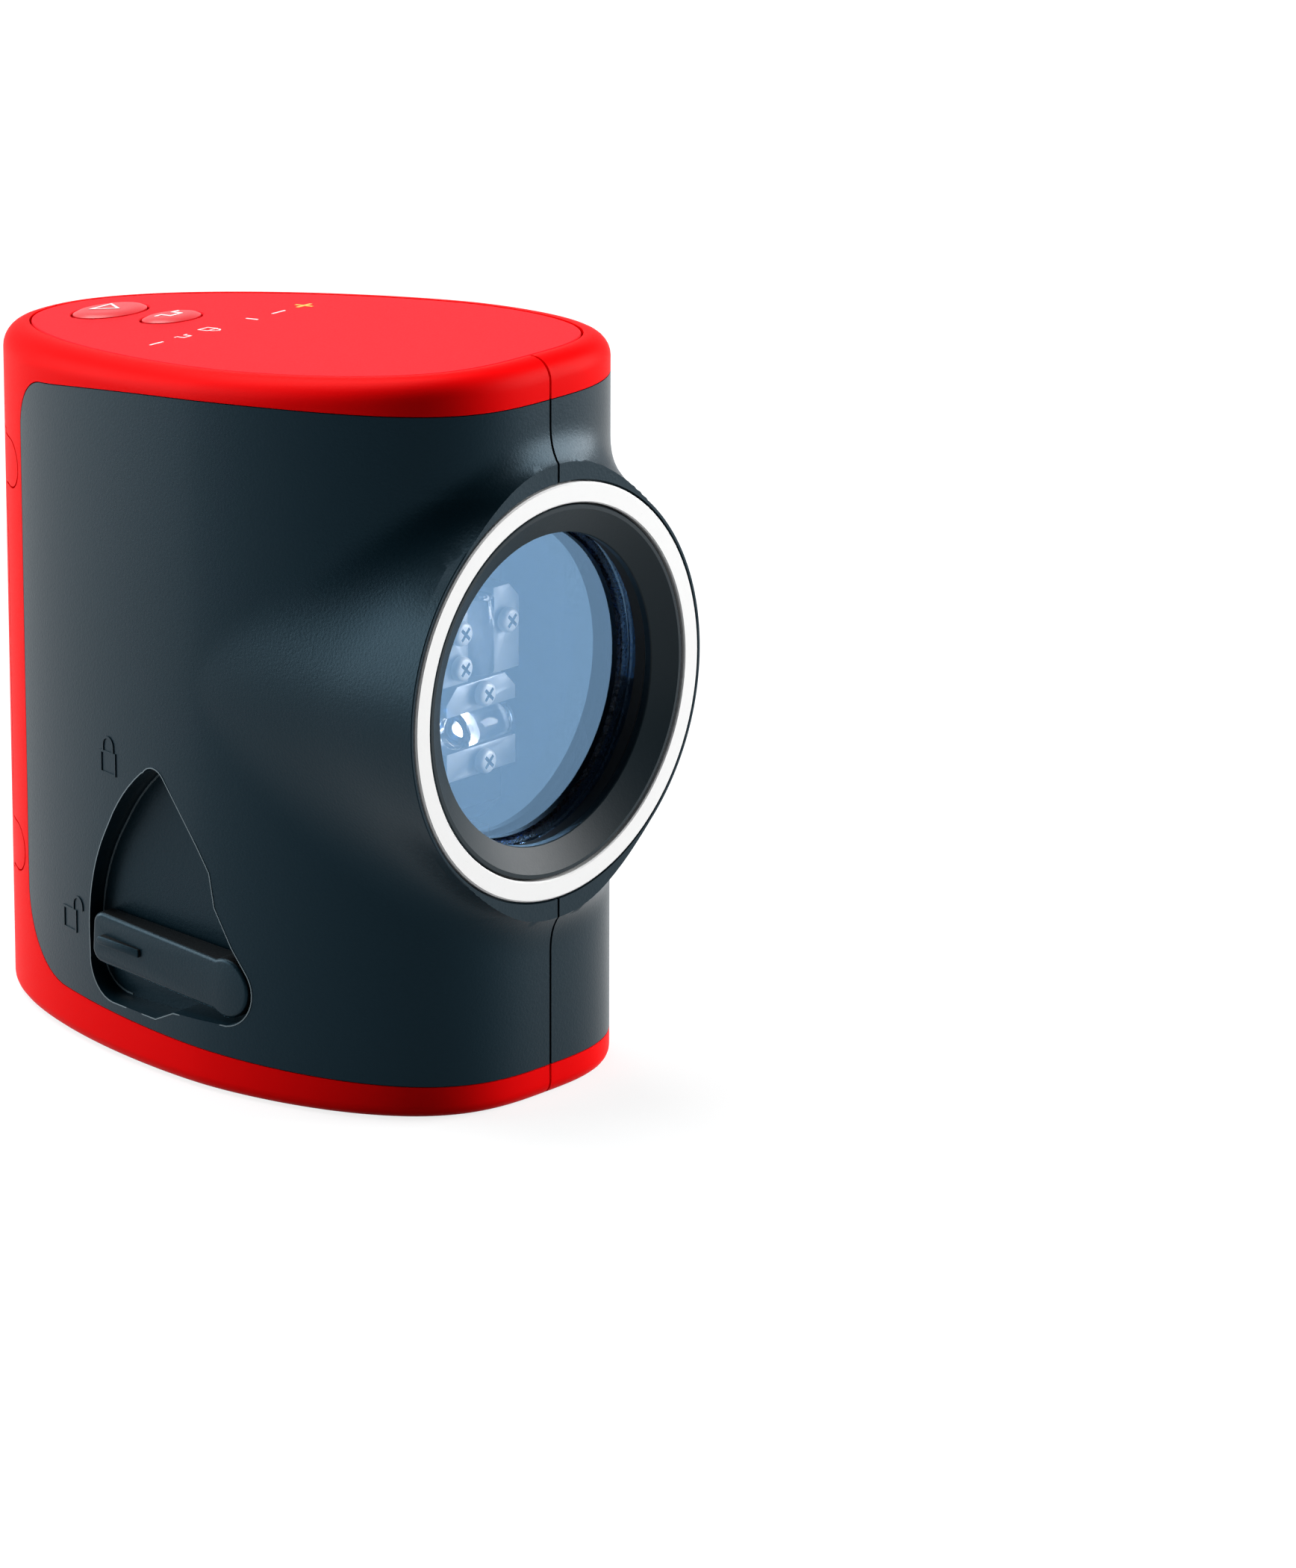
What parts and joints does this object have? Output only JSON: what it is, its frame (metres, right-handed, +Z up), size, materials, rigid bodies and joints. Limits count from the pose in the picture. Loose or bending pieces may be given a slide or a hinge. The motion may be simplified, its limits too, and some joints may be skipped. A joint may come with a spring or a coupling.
{
  "type": "laser level",
  "caption": "Self-levelling cross-line laser level: two-colour egg-shaped housing, round flared window with pendulum line optics behind it, side lock lever, top keys and rear battery door.",
  "frame": {"origin": "on the ground under the middle of the whole object's box, which is also the axis of the tripod socket", "axes": "+Z up, the lens looks towards -Y, the lock lever is on the -X side"},
  "size_m": [0.0548, 0.0904, 0.0959],
  "materials": {
    "red_plastic": "fine satin moulding",
    "plate_red": "satin",
    "grey_plastic": "soft-touch satin",
    "black_plastic": "plain moulding",
    "white_plastic": "semi-gloss",
    "soft_rubber": "matt",
    "clear_glass": "polished",
    "steel": "plated",
    "alloy": "die-cast, satin",
    "brass": "turned",
    "board": "printed board",
    "cell": "bare sleeve"
  },
  "bodies": {
    "housing": {"left_frame": "red_plastic", "right_frame": "red_plastic", "top_plate": "plate_red", "left_panel": "grey_plastic", "right_panel": "grey_plastic", "bezel": "grey_plastic", "battery_tray": "black_plastic", "lock_bridge": "black_plastic", "magnet_post": "black_plastic", "tripod_block": "black_plastic", "lens_ring": "white_plastic", "window_gasket": "soft_rubber", "window": "clear_glass", "window_clip": "steel", "power_switch": "steel", "pulse_switch": "steel", "damper_magnet": "steel", "contact_base": "steel", "contact_top": "steel", "roll_pin_front": "steel", "roll_pin_rear": "steel", "bracket_screw_left": "steel", "bracket_screw_right": "steel", "housing_screw_front_top": "steel", "housing_screw_front_base": "steel", "housing_screw_rear_top": "steel", "housing_screw_rear_base": "steel", "gimbal_bracket": "alloy", "tripod_bush": "brass", "keypad_board": "board", "driver_board": "board", "cell_left": "cell", "cell_right": "cell", "cell_rear": "cell"},
    "lock": {"lock_lever": "grey_plastic", "lock_shaft": "steel"},
    "plunger": {"lock_plunger": "steel", "brake_pad": "soft_rubber"},
    "power_key": {"power_button": "red_plastic"},
    "pulse_key": {"pulse_button": "red_plastic"},
    "gimbal": {"gimbal_ring": "alloy", "pitch_pin_left": "steel", "pitch_pin_right": "steel"},
    "pendulum": {"pendulum_body": "alloy", "upper_laser": "brass", "lower_laser": "brass", "upper_clamp": "alloy", "lower_clamp": "alloy", "vertical_lens": "clear_glass", "horizontal_lens": "clear_glass", "clamp_screw_left": "steel", "clamp_screw_right": "steel", "clamp_screw_low": "steel", "clamp_screw_top": "steel", "clamp_screw_base": "steel", "damper_plate": "brass"},
    "door": {"battery_door": "red_plastic"}
  },
  "joints": [
    {"name": "lock_turn", "type": "hinge", "parent": "housing", "child": "lock", "pos_m": [-0.0222, -0.01213, 0.014], "axis": [1, 0, 0], "range_deg": [0, 57]},
    {"name": "plunger_lift", "type": "slide", "parent": "housing", "child": "plunger", "axis": [0, 0, 1], "range_m": [0, 0.0028]},
    {"name": "power_press", "type": "slide", "parent": "housing", "child": "power_key", "axis": [0, -0.0802, -0.9968], "range_m": [0, 0.0006], "stiffness_N_per_m": 2000},
    {"name": "pulse_press", "type": "slide", "parent": "housing", "child": "pulse_key", "axis": [0, -0.0802, -0.9968], "range_m": [0, 0.0006], "stiffness_N_per_m": 2000},
    {"name": "gimbal_roll", "type": "hinge", "parent": "housing", "child": "gimbal", "pos_m": [0, -0.01632, 0.075], "axis": [0, 1, 0], "range_deg": [-4, 4]},
    {"name": "gimbal_pitch", "type": "hinge", "parent": "gimbal", "child": "pendulum", "pos_m": [0, -0.01632, 0.075], "axis": [1, 0, 0], "range_deg": [-4, 4]},
    {"name": "door_pull", "type": "slide", "parent": "housing", "child": "door", "axis": [0, 1, 0], "range_m": [0, 0.03]}
  ],
  "couplings": [
    {"joint": "lock_turn", "follows": "plunger_lift", "rad_per_m": 355.25}
  ]
}
